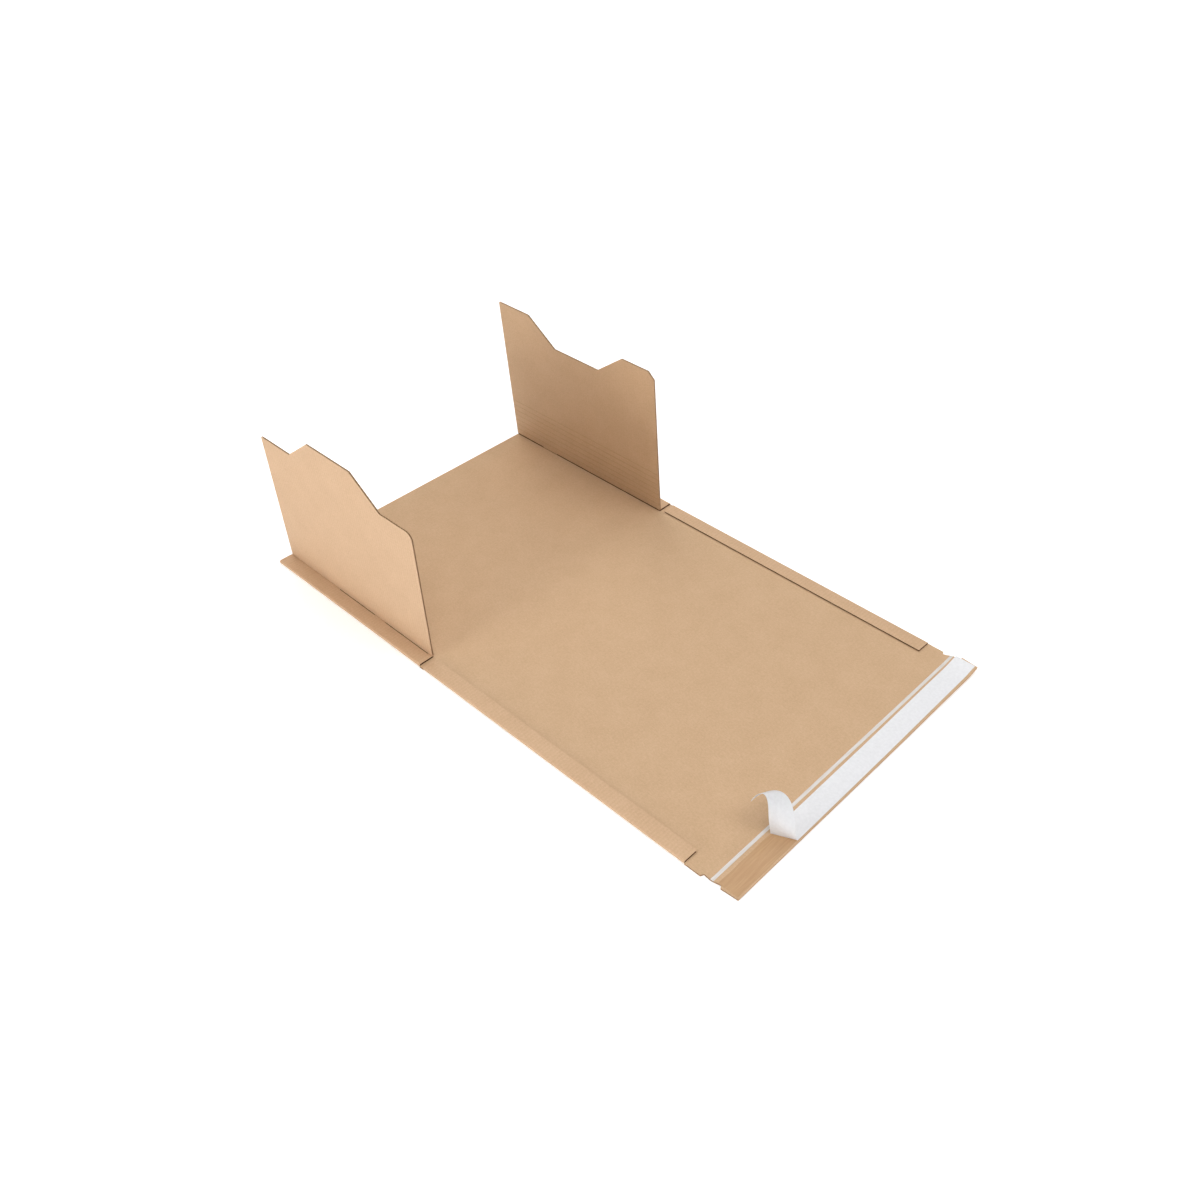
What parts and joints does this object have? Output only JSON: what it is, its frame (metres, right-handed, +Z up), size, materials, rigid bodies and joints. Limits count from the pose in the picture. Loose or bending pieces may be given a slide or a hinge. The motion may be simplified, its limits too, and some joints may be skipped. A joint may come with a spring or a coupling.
{
  "type": "book wrap",
  "caption": "Opened book wrap of fine corrugated board, with hinged side flaps, a long cover, a tear strip and a self-adhesive closing flap.",
  "frame": {"origin": "middle of the opened wrap's length and width, on the surface that it lies on", "axes": "+X along the wrap from its back edge to the closing end, +Y across the wrap from the left flap to the right flap, +Z up"},
  "size_m": [0.566, 0.332, 0.1669],
  "materials": {
    "kraft_board": "brown kraft paper, unprinted",
    "tear_film": "milky film",
    "hot_melt_adhesive": "clear tacky adhesive on kraft paper",
    "release_paper": "white silicone-coated paper"
  },
  "bodies": {
    "base": {"base_panel": "kraft_board"},
    "left_flap": {"left_side_flap": "kraft_board"},
    "right_flap": {"right_side_flap": "kraft_board"},
    "cover": {"cover_panel": "kraft_board", "tear_strip": "tear_film", "adhesive_band": "hot_melt_adhesive", "release_liner": "release_paper"}
  },
  "joints": [
    {"name": "left_flap_hinge", "type": "hinge", "parent": "base", "child": "left_flap", "pos_m": [-0.1775, -0.151, 0.00345], "axis": [-1, 0, 0], "range_deg": [-87.5, 92.5]},
    {"name": "right_flap_hinge", "type": "hinge", "parent": "base", "child": "right_flap", "pos_m": [-0.1775, 0.151, 0.00345], "axis": [1, 0, 0], "range_deg": [-95.5, 84.5]},
    {"name": "cover_hinge", "type": "hinge", "parent": "base", "child": "cover", "pos_m": [-0.07, 0, 0.0015], "axis": [0, -1, 0], "range_deg": [0, 90]}
  ]
}
